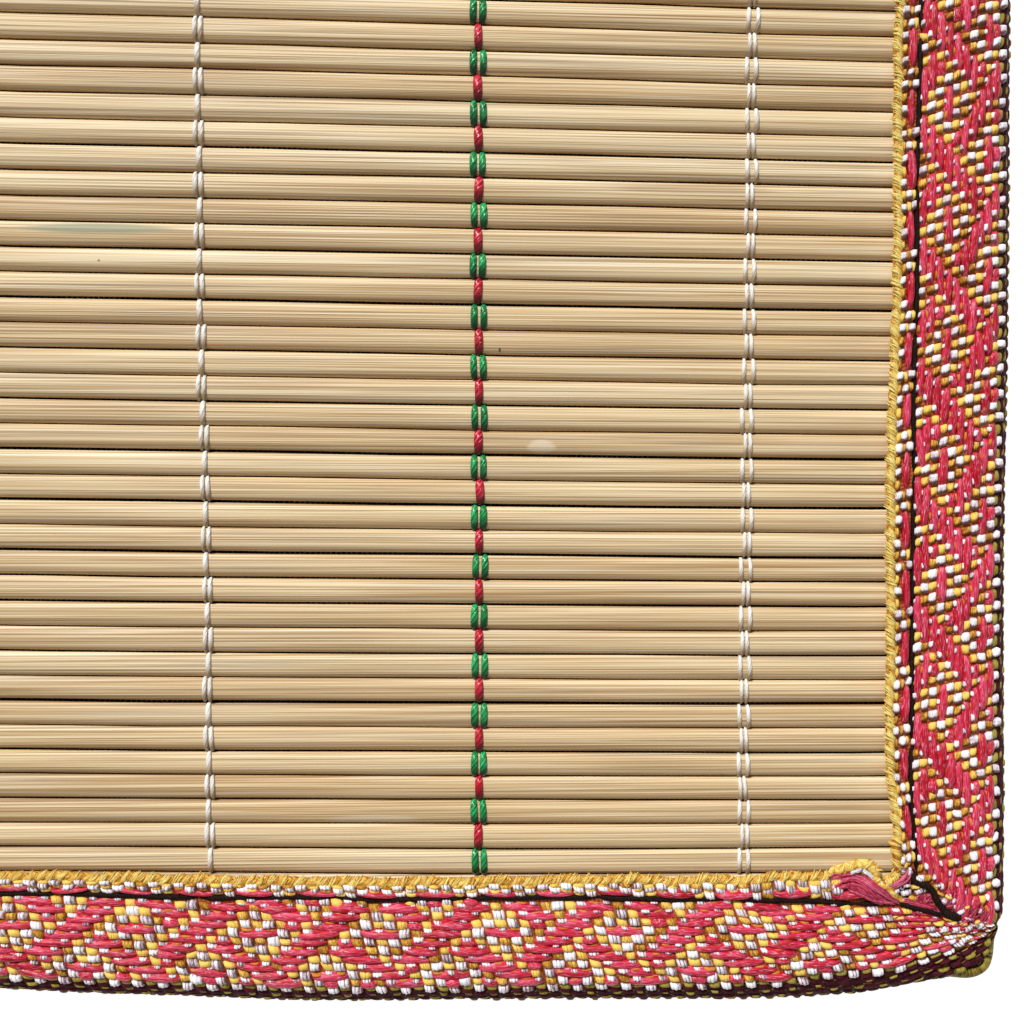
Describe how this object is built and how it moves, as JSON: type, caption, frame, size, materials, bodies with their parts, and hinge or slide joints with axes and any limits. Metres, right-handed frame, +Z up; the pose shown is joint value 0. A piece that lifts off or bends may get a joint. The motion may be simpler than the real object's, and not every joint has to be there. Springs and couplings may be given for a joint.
{
  "type": "bamboo mat",
  "caption": "Rectangular placemat of thin split bamboo slats tied side by side with coloured threads on a dark backing cloth, bound all round with a folded jacquard ribbon.",
  "frame": {"origin": "centre of the underside, on the surface that the mat lies on", "axes": "+X along the slats, +Y across them, +Z up out of the face"},
  "size_m": [0.4355, 0.3086, 0.0054],
  "materials": {
    "bamboo": "split bamboo, straw coloured with fine lengthwise grain, satin",
    "backing": "dark plain-woven cloth, matt",
    "ribbon": "jacquard ribbon in pink, gold and white with a diamond pattern and a gold selvedge, glossy floats",
    "white_thread": "white synthetic thread, glossy",
    "green_thread": "green rayon-like thread, glossy",
    "red_thread": "red rayon-like thread, glossy",
    "sewing_thread": "dark brown sewing thread, satin"
  },
  "bodies": {
    "root": {"slat_panel": "bamboo", "backing_cloth": "backing", "binding_tape": "ribbon"}
  },
  "joints": []
}
